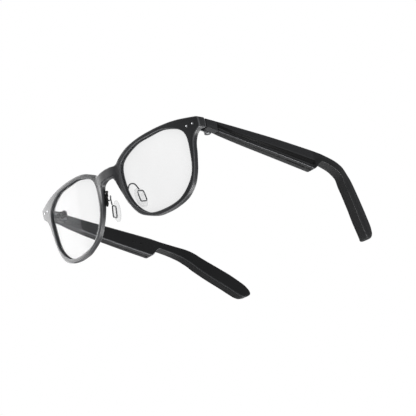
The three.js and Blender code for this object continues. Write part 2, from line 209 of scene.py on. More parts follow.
def piece(name, vertices, faces, body, material, node, marks=None):
    """A mesh object from vertex and face arrays, riding on a body and standing for its CAD node. Marks
    are numbers painted on its points, which the finishes read."""
    mesh = bpy.data.meshes.new(name)
    faces = faces.tolist() if isinstance(faces, np.ndarray) else faces
    mesh.from_pydata(np.asarray(vertices).tolist(), [], faces)
    for mark, values in (marks or {}).items():
        painted = mesh.attributes.new(mark, "FLOAT", "POINT")
        painted.data.foreach_set("value", np.asarray(values, np.float32))
    mesh.update()
    work = bmesh.new()
    work.from_mesh(mesh)
    bmesh.ops.remove_doubles(work, verts=work.verts, dist=1e-7)
    loose = [v for v in work.verts if not v.link_faces]
    bmesh.ops.delete(work, geom=loose, context="VERTS")
    bmesh.ops.recalc_face_normals(work, faces=work.faces)
    work.to_mesh(mesh)
    work.free()
    mesh.shade_smooth()
    mesh.materials.append(material)
    made = shown(name, mesh)
    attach(made, body)
    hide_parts(node)
    return made


def grid_faces(rows, columns, close_rows=False, close_columns=False):
    """The quads of a grid of rows x columns vertices, joined round where asked."""
    r = np.arange(rows if close_rows else rows - 1)
    c = np.arange(columns if close_columns else columns - 1)
    r, c = np.meshgrid(r, c, indexing="ij")
    below, beside = (r + 1) % rows, (c + 1) % columns
    corners = (r * columns + c, r * columns + beside, below * columns + beside, below * columns + c)
    return np.stack([q.ravel() for q in corners], axis=1)


def capped(rings):
    """A tube through rings of points (rings x points x 3), each end closed by a fan to its middle."""
    rings = np.asarray(rings, float)
    count, points = rings.shape[:2]
    vertices = np.concatenate([rings.reshape(-1, 3), [rings[0].mean(0), rings[-1].mean(0)]])
    faces = grid_faces(count, points, close_columns=True).tolist()
    around = np.arange(points)
    last = (count - 1) * points
    for hub, base in ((len(vertices) - 2, 0), (len(vertices) - 1, last)):
        fan = (around + base, (around + 1) % points + base, np.full(points, hub))
        faces += np.stack(fan, axis=1).tolist()
    return vertices, faces


def mirrored(points, sign):
    """The points, with x turned round for the right-hand side."""
    return np.asarray(points) * [sign, 1.0, 1.0]


# ---- finishes ----
class Wire:
    """One socket of a finish. Sums, differences, products and powers of wires add Math nodes."""

    def __init__(self, finish, socket):
        self.finish, self.socket = finish, socket

    def _math(self, operation, first, second):
        return self.finish.node("ShaderNodeMath", {"operation": operation}, {0: first, 1: second})

    def __add__(self, other):
        return self._math("ADD", self, other)

    __radd__ = __add__

    def __sub__(self, other):
        return self._math("SUBTRACT", self, other)

    def __rsub__(self, other):
        return self._math("SUBTRACT", other, self)

    def __mul__(self, other):
        return self._math("MULTIPLY", self, other)

    __rmul__ = __mul__

    def __pow__(self, power):
        return self._math("POWER", self, power)


class Finish:
    """A material under construction, around one Principled shader."""

    def __init__(self, name):
        self.material = bpy.data.materials.new(name)
        self.material.use_nodes = True
        self.tree = self.material.node_tree
        self.shader = next(n for n in self.tree.nodes if n.type == "BSDF_PRINCIPLED")

    def node(self, kind, settings=None, sockets=None, out=0):
        """A new node: its settings first, then the values or wires of its sockets."""
        made = self.tree.nodes.new(kind)
        for key, value in (settings or {}).items():
            if key == "stops":
                ramp = made.color_ramp
                while len(ramp.elements) < len(value):
                    ramp.elements.new(0.5)
                for element, (place, shade) in zip(ramp.elements, value):
                    element.position, element.color = place, (*shade, 1.0)
            else:
                setattr(made, key, value)
        for key, value in (sockets or {}).items():
            self.feed(made.inputs[key], value)
        return Wire(self, made.outputs[out])

    def feed(self, socket, value):
        if isinstance(value, Wire):
            self.tree.links.new(value.socket, socket)
        elif socket.type == "RGBA" and len(value) == 3:
            socket.default_value = (*value, 1.0)
        else:
            socket.default_value = value

    def place(self, scale=(1.0, 1.0, 1.0)):
        """The point on the piece, in metres times scale."""
        here = self.node("ShaderNodeTexCoord", out="Object")
        return self.node("ShaderNodeMapping", {}, {"Vector": here, "Scale": scale})

    def noise(self, size, detail=2.0, stretch=(1.0, 1.0, 1.0), roughness=0.5):
        """Soft noise from 0 to 1 whose grains are about size metres across."""
        scale = tuple(s / size for s in stretch)
        sockets = {"Vector": self.place(scale), "Scale": 1.0, "Detail": detail, "Roughness": roughness}
        return self.node("ShaderNodeTexNoise", {}, sockets, out=0)

    def mark(self, name):
        """A number painted on the piece's points."""
        return self.node("ShaderNodeAttribute", {"attribute_name": name}, out="Fac")

    def spread(self, value, low, high, to_low=0.0, to_high=1.0):
        """The value carried from one span to another and held inside it."""
        sockets = {0: value, 1: low, 2: high, 3: to_low, 4: to_high}
        return self.node("ShaderNodeMapRange", {"clamp": True}, sockets)

    def tint(self, share, first, second):
        """The first colour going over to the second as share goes from 0 to 1."""
        settings = {"data_type": "RGBA"}
        return self.node("ShaderNodeMix", settings, {0: share, 6: first, 7: second}, out=2)

    def relief(self, height, depth, strength=1.0):
        """A normal bent by a height map whose full span is depth metres."""
        sockets = {"Strength": strength, "Distance": depth, "Height": height}
        return self.node("ShaderNodeBump", {}, sockets)

    def set(self, **sockets):
        for key, value in sockets.items():
            self.feed(self.shader.inputs[key.replace("_", " ")], value)
        return self.material


def graphite_satin():
    """Charcoal satin plastic: a fine tumbled grain, and smoother, polished edges that a painted highlight
    makes paler.
    """
    f = Finish("graphite_satin")
    edge = f.mark("edge")
    cloud = f.noise(0.012, 3.0)
    colour = f.tint(f.spread(cloud, 0.35, 0.65), (0.050, 0.051, 0.055), (0.064, 0.065, 0.070))
    # painted highlight: the marked edge rows are tinted pale grey for the light that their rounds catch
    colour = f.tint(edge, colour, (0.27, 0.273, 0.285))
    grain = f.noise(0.00022, 2.0)
    rough = f.spread(cloud, 0.3, 0.7, 0.36, 0.43) - edge * 0.14
    normal = f.relief(grain, 0.000006, 0.5)
    f.set(Specular_IOR_Level=0.62)
    return f.set(Base_Color=colour, Roughness=rough, Normal=normal)


def temple_black():
    """Black moulded plastic with a fine matt grain, smoother along its edges and grey on the plate beside
    the hinge. A painted highlight makes its edges paler, painted light makes the bands above and below
    the valley of the outer face paler, and painted shade makes the valley and the groove under the keel
    nearly black."""
    f = Finish("temple_black")
    edge = f.mark("edge")
    cloud = f.noise(0.016, 3.0, (1.0, 0.35, 1.0))
    speck = f.noise(0.0003, 2.0)
    colour = f.tint(f.spread(cloud, 0.3, 0.7), (0.0085, 0.0087, 0.0097), (0.0135, 0.0138, 0.0150))
    colour = f.tint(f.spread(speck, 0.52, 0.75, 0.0, 0.3), colour, (0.034, 0.035, 0.038))
    # painted light: the bands above and below the valley of the outer face are tinted paler
    colour = f.tint(f.mark("brow"), colour, (0.036, 0.0365, 0.040))
    # painted shade: the valley and the groove under the keel are tinted nearly black
    colour = f.tint(f.mark("valley"), colour, (0.0020, 0.0020, 0.0022))
    # painted highlight: the marked edges are tinted pale grey for the light that their rounds catch
    colour = f.tint(edge, colour, (0.25, 0.253, 0.265))
    colour = f.tint(f.mark("plate"), colour, (0.060, 0.061, 0.065))
    rough = f.spread(speck, 0.3, 0.7, 0.44, 0.48) - edge * 0.08
    normal = f.relief(speck, 0.00001, 0.22)
    f.set(Specular_IOR_Level=0.5)
    return f.set(Base_Color=colour, Roughness=rough, Normal=normal)


def sleeve_satin():
    """Grey satin plastic of the connector between the hinge and the temple, paler along its edges by a
    painted highlight.
    """
    f = Finish("sleeve_satin")
    edge = f.mark("edge")
    grain = f.noise(0.00025, 2.0)
    cloud = f.noise(0.006, 2.0)
    colour = f.tint(f.spread(cloud, 0.3, 0.7), (0.050, 0.051, 0.055), (0.072, 0.073, 0.078))
    # painted highlight: the marked edges are tinted paler
    colour = f.tint(edge * 0.6, colour, (0.14, 0.141, 0.148))
    rough = f.spread(grain, 0.3, 0.7, 0.34, 0.46)
    normal = f.relief(grain, 0.000008, 0.5)
    f.set(Specular_IOR_Level=0.55)
    return f.set(Base_Color=colour, Roughness=rough, Normal=normal)


def metal(name, dark, light, low, high, grain_size=0.0004, stretch=(1.0, 1.0, 1.0)):
    """Bare metal: its shade and its shine wander a little along fine drawn or tumbled marks."""
    f = Finish(name)
    marks = f.noise(grain_size, 3.0, stretch)
    cloud = f.noise(0.0025, 2.0)
    colour = f.tint(f.spread(cloud, 0.3, 0.7), dark, light)
    rough = f.spread(marks, 0.3, 0.7, low, high)
    normal = f.relief(marks, 0.000004, 0.35)
    f.set(Metallic=1.0)
    return f.set(Base_Color=colour, Roughness=rough, Normal=normal)


def black_coat(name, grain_size=0.0003, depth=0.00001, shade=0.009):
    """Black lacquer over metal or a moulded case, with the orange-peel of a sprayed coat."""
    f = Finish(name)
    peel = f.noise(grain_size, 2.0)
    colour = f.tint(f.spread(peel, 0.35, 0.7), (shade, shade, shade * 1.1), (shade * 2.2,) * 3)
    rough = f.spread(peel, 0.3, 0.7, 0.34, 0.5)
    normal = f.relief(peel, depth, 0.6)
    return f.set(Base_Color=colour, Roughness=rough, Normal=normal)


def woven_screen():
    """Black wire cloth: two crossed sets of fine ridges with dark holes between them."""
    f = Finish("woven_screen")
    waves = [
        f.node(
            "ShaderNodeTexWave",
            {"wave_type": "BANDS", "bands_direction": way, "wave_profile": "SIN"},
            {"Vector": f.place((4000.0, 4000.0, 4000.0)), "Scale": 0.32, "Distortion": 0.0},
            out="Fac",
        )
        for way in ("X", "Y")
    ]
    weave = waves[0] * waves[1]
    colour = f.tint(weave, (0.002, 0.002, 0.002), (0.06, 0.06, 0.063))
    normal = f.relief(weave, 0.00006, 0.8)
    f.set(Metallic=0.6)
    return f.set(Base_Color=colour, Roughness=f.spread(weave, 0.0, 1.0, 0.75, 0.38), Normal=normal)


def lens_clear():
    """Clear lens: almost nothing but a faint cool veil, deeper towards its edge and varying softly across
    it.
    """
    f = Finish("lens_clear")
    rim = f.mark("rim")
    veil_cloud = f.noise(0.03, 3.0, (1.0, 1.0, 0.5))
    veil = f.spread(veil_cloud, 0.3, 0.75, 0.050, 0.085) + rim * 0.06
    colour = f.tint(rim, (0.60, 0.61, 0.63), (0.42, 0.43, 0.45))
    rough = f.spread(veil_cloud, 0.3, 0.7, 0.03, 0.08)
    f.set(Specular_IOR_Level=0.7)
    return f.set(Base_Color=colour, Roughness=rough, Alpha=veil)


def silicone_clear():
    """Clear silicone: see-through when looked at squarely and milky at its turning edges."""
    f = Finish("silicone_clear")
    turned = f.node("ShaderNodeLayerWeight", {}, {"Blend": 0.42}, out="Facing")
    bloom = f.noise(0.0016, 2.0)
    body = turned**3.2 * 0.85 + f.spread(bloom, 0.3, 0.7, 0.06, 0.12)
    colour = f.tint(turned, (0.78, 0.79, 0.81), (0.30, 0.305, 0.33))
    rough = f.spread(bloom, 0.3, 0.7, 0.16, 0.26)
    normal = f.relief(bloom, 0.00002, 0.3)
    return f.set(Base_Color=colour, Roughness=rough, Alpha=body, Normal=normal)


def circuit_green():
    """Solder mask over copper: pads and tracks show as paler squares under the green."""
    f = Finish("circuit_green")
    cells = f.node(
        "ShaderNodeTexVoronoi",
        {"feature": "F1", "distance": "CHEBYCHEV"},
        {"Vector": f.place((1400.0, 1400.0, 1400.0)), "Scale": 1.0},
        out="Distance",
    )
    tracks = f.spread(cells, 0.36, 0.42)
    colour = f.tint(tracks, (0.012, 0.075, 0.040), (0.05, 0.16, 0.08))
    return f.set(Base_Color=colour, Roughness=0.42, Normal=f.relief(tracks, 0.00003, 0.5))


def amber_film():
    """Amber film with fine copper lines along it."""
    f = Finish("amber_film")
    lines = f.node(
        "ShaderNodeTexWave",
        {"wave_type": "BANDS", "bands_direction": "Z"},
        {"Vector": f.place((1000.0, 1000.0, 1000.0)), "Scale": 0.6, "Distortion": 0.0},
        out="Fac",
    )
    colour = f.tint(f.spread(lines, 0.4, 0.6), (0.30, 0.11, 0.02), (0.48, 0.22, 0.06))
    return f.set(Base_Color=colour, Roughness=0.35, Normal=f.relief(lines, 0.00001, 0.4))


GRAPHITE = graphite_satin()
TEMPLE = temple_black()
SLEEVE = sleeve_satin()
LENS = lens_clear()
SILICONE = silicone_clear()
POLISHED = metal("polished_steel", (0.62, 0.63, 0.65), (0.78, 0.79, 0.81), 0.14, 0.26)
GUNMETAL = metal("wire_gunmetal", (0.20, 0.203, 0.21), (0.34, 0.345, 0.355), 0.16, 0.28)
DRAWN_ALONG = (1.0, 0.12, 1.0)
DARK_STEEL = metal(
    "hinge_steel", (0.10, 0.102, 0.108), (0.16, 0.162, 0.17), 0.30, 0.42, 0.0003, DRAWN_ALONG,
)
NICKEL = metal("contact_nickel", (0.04, 0.04, 0.041), (0.07, 0.07, 0.071), 0.34, 0.46)
FOIL = metal("cell_foil", (0.55, 0.56, 0.58), (0.68, 0.69, 0.7), 0.3, 0.5, 0.0012)
BLACK_STEEL = black_coat("black_steel")
SPEAKER_CASE = black_coat("speaker_case", 0.0005, 0.00003, 0.012)
SCREEN = woven_screen()
CIRCUIT = circuit_green()
FILM = amber_film()


# ---- the front ----
MIDDLE = np.array([30.0, 8.0])  # every point of a half's outline is seen from here, in order
RIM_COLUMNS = 460
JOIN_COLUMNS = 12  # down the middle of the bridge
EDGE_ROUND = 0.42
MOUTH_ROUND = 0.34
FACE_CROWN = 0.06  # of the front face, forward
END_RISE_X = (66.2, 67.4)  # where the rear face rises to the end piece
END_RISE_Z = (12.2, 13.5)


def outward(points, closed):
    """Unit normals on the left of a flat line: its direction turned a quarter turn."""
    step = np.gradient(np.concatenate([points[-1:], points, points[:1]]) if closed else points, axis=0)
    step = step[1:-1] if closed else step
    normal = np.stack([-step[:, 1], step[:, 0]], axis=1)
    return normal / np.linalg.norm(normal, axis=1, keepdims=True)


def heading(points):
    """The angle of each point as seen from MIDDLE."""
    return np.arctan2(points[:, 1] - MIDDLE[1], points[:, 0] - MIDDLE[0])


def level_middle(outline):
    """The outline with its peak at the middle of the bridge turned into an arch: within 7 mm of the
    middle each height is the mean of its neighbours, those beyond x = 0 being mirror images."""
    reach = 9
    height = np.pad(outline[:, 1], reach, "reflect")
    for _ in range(2):
        mean = np.convolve(height, np.ones(2 * reach + 1) / (2 * reach + 1), "same")
        height[reach:-reach] = mean[reach:-reach]
        height = np.pad(height[reach:-reach], reach, "reflect")
    share = 1 - smoothstep(3.0, 7.0, outline[:, 0])
    height = outline[:, 1] + (height[reach:-reach] - outline[:, 1]) * share
    return np.stack([outline[:, 0], height], axis=1)


def opening(count=720):
    """The lens opening's edge in the front's upright axes and its normals, away from the lens."""
    edge = spline(OPENING, np.arange(count) / count, closed=True) + [LENS_CENTRE, 0.0]
    return edge, -outward(edge, True)


def rear_depth(x, z, curved_back):
    """How far back the rear face lies: the rim's depth, rising in an S to the end piece's back, which is
    flat, so the wrap that curves it back is taken off."""
    rise = smoothstep(*END_RISE_X, x) * smoothstep(*END_RISE_Z, z)
    return RIM_DEPTH + (END_BACK - curved_back - RIM_DEPTH) * rise


def front_half():
    """One half of the front as rings of points: every column joins a point of the lens opening to the
    outline point seen the same way from MIDDLE, and every row is an inset from one of those two edges
    or a share of the way between them, with its depth. The rows run from the lens groove forward,
    over the front face, round the outside and back across the rear face to the groove."""
    share = np.linspace(0.0, 1.0, 700)
    outline = np.concatenate([spline(BROW, share), spline(UNDERSIDE, share)[1:]])
    outline = eased(evenly(outline, RIM_COLUMNS), 3)
    outline = level_middle(outline)
    away = outward(outline, False)
    away[[0, -1]] = [[0.0, 1.0], [0.0, -1.0]]  # upright where the two halves meet
    mouth, mouth_away = opening()
    turn = heading(mouth)
    order = np.argsort(turn)
    turn, mouth, mouth_away = turn[order], mouth[order], mouth_away[order]

    up = np.linspace(0.0, 1.0, JOIN_COLUMNS + 2)[1:-1, None]

    def column_line(inset):
        """The outline moved inwards, then the join along the middle of the bridge between its ends."""
        line = outline - away * inset
        return np.concatenate([line, line[-1] + (line[0] - line[-1]) * up])

    rim = column_line(0.0)
    looked = heading(rim)
    wide = lambda values: np.interp(looked, turn, values, period=2 * math.pi)
    inner = np.stack([wide(mouth[:, 0]), wide(mouth[:, 1])], axis=1)
    inner_away = np.stack([wide(mouth_away[:, 0]), wide(mouth_away[:, 1])], axis=1)
    inner_away /= np.linalg.norm(inner_away, axis=1, keepdims=True)

    # rows on the rounded edges of the mouth and the outline carry an edge mark of 1, which the finish reads
    # as a painted highlight and a lower roughness
    rows, depths, edges = [], [], []

    def row(points, depth, edge=0.0):
        rows.append(points)
        depths.append(np.broadcast_to(depth, len(points)))
        edges.append(np.full(len(points), edge))

    def mouth_row(inset, depth, edge=0.0):
        row(inner + inner_away * inset, depth, edge)

    bend = np.array([0.0, 0.3, 0.7, 1.0]) * math.pi / 2
    mouth_row(0.0, LIP)
    for angle in bend:
        mouth_row(MOUTH_ROUND * (1 - math.cos(angle)), MOUTH_ROUND * (1 - math.sin(angle)), 1.0)
    near, far = inner + inner_away * MOUTH_ROUND, column_line(EDGE_ROUND)
    mouth_row(MOUTH_ROUND + 0.12, 0.0)
    for step in (0.15, 0.3, 0.5, 0.7, 0.85):
        row(near + (far - near) * step, -FACE_CROWN * math.sin(math.pi * step))
    row(column_line(EDGE_ROUND + 0.12), 0.0)
    for angle in bend[::-1]:
        row(column_line(EDGE_ROUND * (1 - math.cos(angle))), EDGE_ROUND * (1 - math.sin(angle)), 1.0)
    wall_start = len(rows) - 5
    back = rear_depth(rim[:, 0], rim[:, 1], wrap(rim[:, 0]))
    for step in (0.08, 0.5, 0.92):
        row(column_line(0.0), EDGE_ROUND + (back - 2 * EDGE_ROUND) * step)
    for angle in bend:
        inset = EDGE_ROUND * (1 - math.cos(angle))
        line = column_line(inset)
        deep = rear_depth(line[:, 0] + 0.6, line[:, 1], wrap(line[:, 0]))
        row(line, deep - EDGE_ROUND * (1 - math.sin(angle)), 1.0)
    wall_end = len(rows) - 1
    for step in np.linspace(0.03, 0.97, 24):
        line = far + (near - far) * step
        row(line, rear_depth(line[:, 0], line[:, 1], wrap(line[:, 0])))
    for angle in bend[::-1]:
        depth = RIM_DEPTH - MOUTH_ROUND * (1 - math.sin(angle))
        mouth_row(MOUTH_ROUND * (1 - math.cos(angle)), depth, 1.0)
    mouth_row(0.0, RIM_DEPTH - LIP)
    mouth_row(GROOVE, RIM_DEPTH - LIP)
    mouth_row(GROOVE, LIP)

    flat, depths = np.array(rows), np.array(depths)
    points = np.stack([flat[..., 0], depths + front_curve(flat[..., 0]), flat[..., 1]], axis=-1)
    count, columns = points.shape[:2]
    faces = grid_faces(count, columns, close_rows=True, close_columns=True)
    at_row, at_column = faces[:, 0] // columns, faces[:, 0] % columns
    # the join's columns have no outer wall: the halves meet there
    joined = (at_row >= wall_start) & (at_row < wall_end) & (at_column >= RIM_COLUMNS - 1)
    return points, faces[~joined], np.array(edges)


def build_front():
    """Both halves of the front, joined along the middle of the bridge, as one skin."""
    points, faces, edges = front_half()
    count = points.shape[0] * points.shape[1]
    both = np.concatenate([mirrored(points, sign).reshape(-1, 3) for sign in (1.0, -1.0)])
    faces = np.concatenate([faces, faces[:, ::-1] + count])
    # the edge mark gives the front's rounded edges their painted highlight
    marks = {"edge": np.tile(edges.ravel(), 2)}
    return piece(
        "front_shell", leaning(both), faces, "front", GRAPHITE, "front_frame", marks,
    )


def build_lens(side, sign):
    """A disc from the lens centre to a line 0.6 mm under the rim: rings of the opening's edge shrunk to
    a share of their distance, with front and rear faces bowed forward by a square law."""
    turns, reach, bow, edge_y = 144, 0.6, 0.45, 1.1
    edge = spline(OPENING, np.arange(turns) / turns, closed=True)
    edge = edge * (1 + reach / np.linalg.norm(edge, axis=1, keepdims=True))
    share = np.concatenate([np.linspace(0.0, 0.9, 16)[1:], [0.94, 0.97, 0.99, 1.0]])
    front_y = edge_y - bow * (1 - share**2)
    depth = RIM_DEPTH - 2 * front_y[-1]
    shares = np.concatenate([share, share[::-1]])
    heights = np.concatenate([front_y, (front_y + depth)[::-1]])
    flat = shares[:, None, None] * edge + [LENS_CENTRE, 0.0]
    y = heights[:, None] + wrap(flat[..., 0])
    points = np.stack([flat[..., 0], y, flat[..., 1]], axis=-1)
    vertices, faces = capped(points)
    rim = np.concatenate([np.repeat(shares, turns) ** 8, [0.0, 0.0]])
    return piece(
        f"lens_glass_{side}", leaning(mirrored(vertices, sign)), faces, "front", LENS,
        f"lens_{side}", {"rim": rim},
    )


def build_rivet(side, sign, x, end):
    """A domed pin: the profile of radius and depth below, turned about y."""
    profile = np.array([
        (0.70, 1.2), (0.70, 0.04), (0.67, -0.05), (0.58, -0.14), (0.42, -0.2), (0.2, -0.24),
    ])
    turn = full_turn(28)
    ring = np.stack([np.cos(turn), 0 * turn, np.sin(turn)], axis=1)
    points = profile[:, None, :1] * ring + profile[:, None, 1:] * [0.0, 1.0, 0.0]
    points = points + [x, wrap(x) - 0.06, RIVET_HEIGHT]
    vertices, faces = capped(points)
    return piece(
        f"rivet_dome_{side}_{end}", leaning(mirrored(vertices, sign)), faces, "front", POLISHED,
        f"rivet_{side}_{end}",
    )


# ---- the temples ----
SEAM = 0.08  # between the shell and the cover
TOP_ROUND = 0.8
LOW_ROUND = 0.36
CROWN = 0.22  # of the outer face above the valley
PLATE_END_Y = 34.5
STEP_END_Y = 104.0


def temple_stations(place):
    """The six station numbers at places along a temple: a smooth curve through the keel's stations, a
    straight step, and a smooth curve through the neck and the tip."""
    place = np.asarray(place, float)
    keel = spline(KEEL, place)
    tip = spline(NECK_AND_TIP, place - 2)
    climb = np.clip(place - 1, 0, 1)[:, None]
    step = np.asarray(KEEL[-1]) + (np.asarray(NECK_AND_TIP[0]) - KEEL[-1]) * climb
    return np.where(place[:, None] <= 1, keel, np.where(place[:, None] >= 2, tip, step))


def rounded_places(start, end, spacing=0.5):
    """Places spaced evenly along the bottom edge, with the keel's corner and the neck's hollow rounded."""
    fine = np.linspace(start, end, 4000)
    stations = temple_stations(fine)
    step = np.hypot(*np.diff(stations[:, 2:4], axis=0).T)
    length = np.concatenate([[0.0], np.cumsum(step)])
    count = int(length[-1] / spacing) + 1
    at = np.linspace(0, length[-1], count)
    even = np.stack([np.interp(at, length, column) for column in stations.T], axis=1)
    return np.interp(at, length, fine), eased(even, 3)


def crease(place):
    """Where the valley on the outer face starts and where it is deepest, as shares of the height down
    from the top, and its depth. It starts high at the hinge, runs lower along the keel and fades out at
    the step."""
    y = np.interp(place, [0.0, 0.10, 0.44, 0.74, 1.0, 3.0], [14, 21, 50, 75, 98, 173])
    top = np.interp(y, [12, 21, 35, 50, 75, 98], [0.23, 0.25, 0.47, 0.56, 0.55, 0.54])
    low = np.interp(y, [12, 21, 35, 50, 75, 98], [0.60, 0.62, 0.68, 0.72, 0.76, 0.78])
    depth = (0.25 + 0.7 * smoothstep(0.14, 0.3, place)) * (1 - smoothstep(0.98, 1.12, place))
    return top, low, depth


def corner(away, radius):
    """The inset of a quarter circle of a radius, at a distance away from the end that it rounds."""
    left = np.clip(radius - away, 0.0, radius)
    return radius - np.sqrt(radius**2 - left**2)


def ended(place, stations, first, last, low, top, inner):
    """Rows with insets that round the ends of a block by quarter circles: on its two sides, by first at
    its front and last at its rear, and at the rear end by low at the bottom and top at the top. The
    temple itself narrows there on its inner side by another quarter circle."""
    step = np.hypot(*(stations[1:, 2:4] - stations[:-1, 2:4]).T)
    length = np.concatenate([[0.0], np.cumsum(step)])
    total = length[-1]
    near = np.array([0.0, 0.04, 0.15, 0.35, 0.65, 1.0])
    at = np.unique(np.concatenate([length, first * near, total - last * near, total - top * near]))
    rows = np.stack([np.interp(at, length, column) for column in stations.T], axis=1)
    if inner:
        rows[:, 5] -= corner(total - at, inner)
    side = corner(at, first) + corner(total - at, last)
    under, over = (corner(at, first) + corner(total - at, radius) for radius in (low, top))
    return np.interp(at, length, place), rows, (side[:, None], under[:, None], over[:, None])


def outer_section(place, stations, inset, whole):
    """The loop round an outer shell, as distances from the outer face and up from the bottom edge: up
    the creased outer face, round over the top, down the seam and back along the underside. A whole
    section rounds its inner corners too."""
    height = np.hypot(stations[:, 0] - stations[:, 2], stations[:, 1] - stations[:, 3])[:, None]
    width = stations[:, 5:6] - (0.0 if whole else COVER + SEAM)
    top, low, depth = (value[:, None] for value in crease(place))
    v_low, v_high = height * (1 - low), height * (1 - top)
    arc = np.linspace(0, math.pi / 2, 6)[None, :]

    face = [v_low * t for t in (0.16, 0.4, 0.7, 0.93)]
    face += [v_low + (v_high - v_low) * t for t in (0.04, 0.3, 0.7, 0.94)]
    room = height - TOP_ROUND - v_high
    face += [v_high + room * t for t in (0.04, 0.2, 0.45, 0.7, 0.9)]
    v = np.concatenate(face, axis=1)
    sunk = np.where(v < v_low, v / v_low, np.clip((v_high - v) / (v_high - v_low), 0, 1)) * depth
    crown = CROWN * np.clip((v - v_high) / (height - v_high), 0, 1) ** 2
    u = sunk + crown

    top_u = CROWN * (1 - TOP_ROUND / height) + TOP_ROUND * (1 - np.cos(arc))
    top_v = height - TOP_ROUND + TOP_ROUND * np.sin(arc)
    over = np.array([0.25, 0.5, 0.75])[None, :]
    flat_u = TOP_ROUND + (width - 2 * TOP_ROUND) * over
    inner = 0.5 if whole else 0.05
    in_u = width - inner + inner * np.sin(arc)
    in_v = height - inner + inner * np.cos(arc)
    down_v = height - (height - 2 * inner) * np.linspace(0.1, 0.9, 5)[None, :] - inner
    low_u = width - inner + inner * np.cos(arc)
    low_v = inner - inner * np.sin(arc)
    under = np.array([0.86, 0.62, 0.56, 0.5, 0.44, 0.38, 0.14])[None, :]
    grooved = smoothstep(0.12, 0.14, place) * (1 - smoothstep(0.95, 0.99, place))
    groove = np.array([0, 0, 0, 0.28, 0, 0, 0]) * grooved[:, None]
    under_u = width * under
    out_u = LOW_ROUND - LOW_ROUND * np.sin(arc)
    out_v = LOW_ROUND - LOW_ROUND * np.cos(arc)
    ones = np.ones_like(height)
    seam_u, flat_v = width * np.ones((1, 5)), height * np.ones((1, 3))
    u = [u, top_u * ones, flat_u, in_u, seam_u, low_u, under_u, out_u * ones]
    v = [v, top_v, flat_v, in_v, down_v, low_v * ones, groove, out_v * ones]
    u, v = np.concatenate(u, axis=1), np.concatenate(v, axis=1)
    # The loop: the face's points, the top round (6), the top (3), a round (6), the seam (5), and counted
    # back from the end, a round from -19, the underside from -13 and the bottom round from -6.
    edge, brow, valley = np.zeros((3, u.shape[1]))
    count = len(face)
    # painted highlights: on the top round, the bottom outer round, the inner round of a whole block, and
    # thin lines at the lower and upper edges of the valley
    edge[count:count + 6] = 0.3
    edge[-5:-1] = 1.0
    edge[-19:-13] = 1.0 if whole else 0.0
    edge[3], edge[8] = 0.35, 0.25
    # painted light: the bands below and above the valley are marked to be paler
    brow[:3], brow[9:count] = 0.6, 1.0
    # painted shade: the valley and the groove point of the underside are marked to be darkened
    valley[4:8], valley[-10] = 1.0, 1.0
    side, under_in, over_in = inset
    u = side + u * (width - (2 if whole else 1) * side) / width
    v = under_in + v * (height - under_in - over_in) / height
    on_keel = 1 - smoothstep(0.98, 1.12, place)[:, None]
    marks = {
        "edge": edge * (0.12 + 0.88 * on_keel),
        "brow": brow * (0.4 + 0.6 * on_keel),
        "valley": valley * on_keel,
    }
    return u, v, height, marks


def cover_section(stations, inset):
    """The loop round an inner cover, in the same terms: a thin strip with its inner edges rounded."""
    height = np.hypot(stations[:, 0] - stations[:, 2], stations[:, 1] - stations[:, 3])[:, None]
    width = stations[:, 5:6]
    start = width - COVER
    arc = np.linspace(0, math.pi / 2, 6)[None, :]
    top_round, low_round = 0.6, 0.32
    u = [start, start + 0.02, width - top_round + top_round * np.sin(arc)]
    v = [0.1 + 0 * height, height - 0.06, height - top_round + top_round * np.cos(arc)]
    down = np.linspace(0.05, 0.95, 9)[None, :]
    u.append(width * np.ones((1, 9)))
    v.append(height - top_round - (height - top_round - low_round) * down)
    u.append(width - low_round + low_round * np.cos(arc))
    v.append(low_round - low_round * np.sin(arc) + 0 * height)
    u.append(start + 0.06)
    v.append(0 * height)
    u, v = np.concatenate(u, axis=1), np.concatenate(v, axis=1)
    # painted highlights along the cover's top and bottom inner rounds, fainter behind the step
    edge = np.zeros(u.shape[1])
    edge[2:8] = 0.4
    edge[17:23] = 1.0
    side, under_in, over_in = inset
    u = start + (u - start) * (COVER - side) / COVER
    v = under_in + v * (height - under_in - over_in) / height
    plate = (stations[:, 2:3] < PLATE_END_Y) * 1.0
    faint = 0.35 + 0.65 * (stations[:, 2:3] < STEP_END_Y)
    return u, v, height, {"edge": edge * faint, "plate": plate + 0 * u}


def placed(stations, u, v, height):
    """Section points in standing axes: u is taken off the outer face, v is a share of the line from the
    bottom edge to the top edge."""
    share = v / height
    x = stations[:, 4:5] - u
    y = stations[:, 2:3] + (stations[:, 0:1] - stations[:, 2:3]) * share
    z = stations[:, 3:4] + (stations[:, 1:2] - stations[:, 3:4]) * share
    return np.stack([x, y, z], axis=-1)


def build_temple_block(name, node, side, sign, span, ends, material, section):
    """A block along a temple between two places, with rounded ends: a section is worked out for every
    row, and the rows are joined as a tube."""
    place, stations = rounded_places(*span)
    place, stations, inset = ended(place, stations, *ends)
    if section == "cover":
        u, v, height, marks = cover_section(stations, inset)
    else:
        u, v, height, marks = outer_section(place, stations, inset, section == "whole")
    points = placed(stations, u, v, height)
    vertices, faces = capped(points)
    hubs = {mark: [values[0].mean(), values[-1].mean()] for mark, values in marks.items()}
    marks = {mark: np.append(values.ravel(), hubs[mark]) for mark, values in marks.items()}
    return piece(
        name, standing(mirrored(vertices, sign)), faces, f"temple_{side}", material, node, marks,
    )


# ---- the nose pads ----
def pad_axes():
    """Three unit directions of a nose pad: across it, up it and out of its face."""
    face = np.array(PAD_FACING) / np.linalg.norm(PAD_FACING)
    across = np.cross(PAD_UP, face)
    across /= np.linalg.norm(across)
    return across, np.cross(face, across), face


def on_pad(a, b, c):
    """A point of the pad's own axes in the front's upright axes."""
    across, up, face = pad_axes()
    return np.array(PAD_CENTRE) + a[..., None] * across + b[..., None] * up + c[..., None] * face


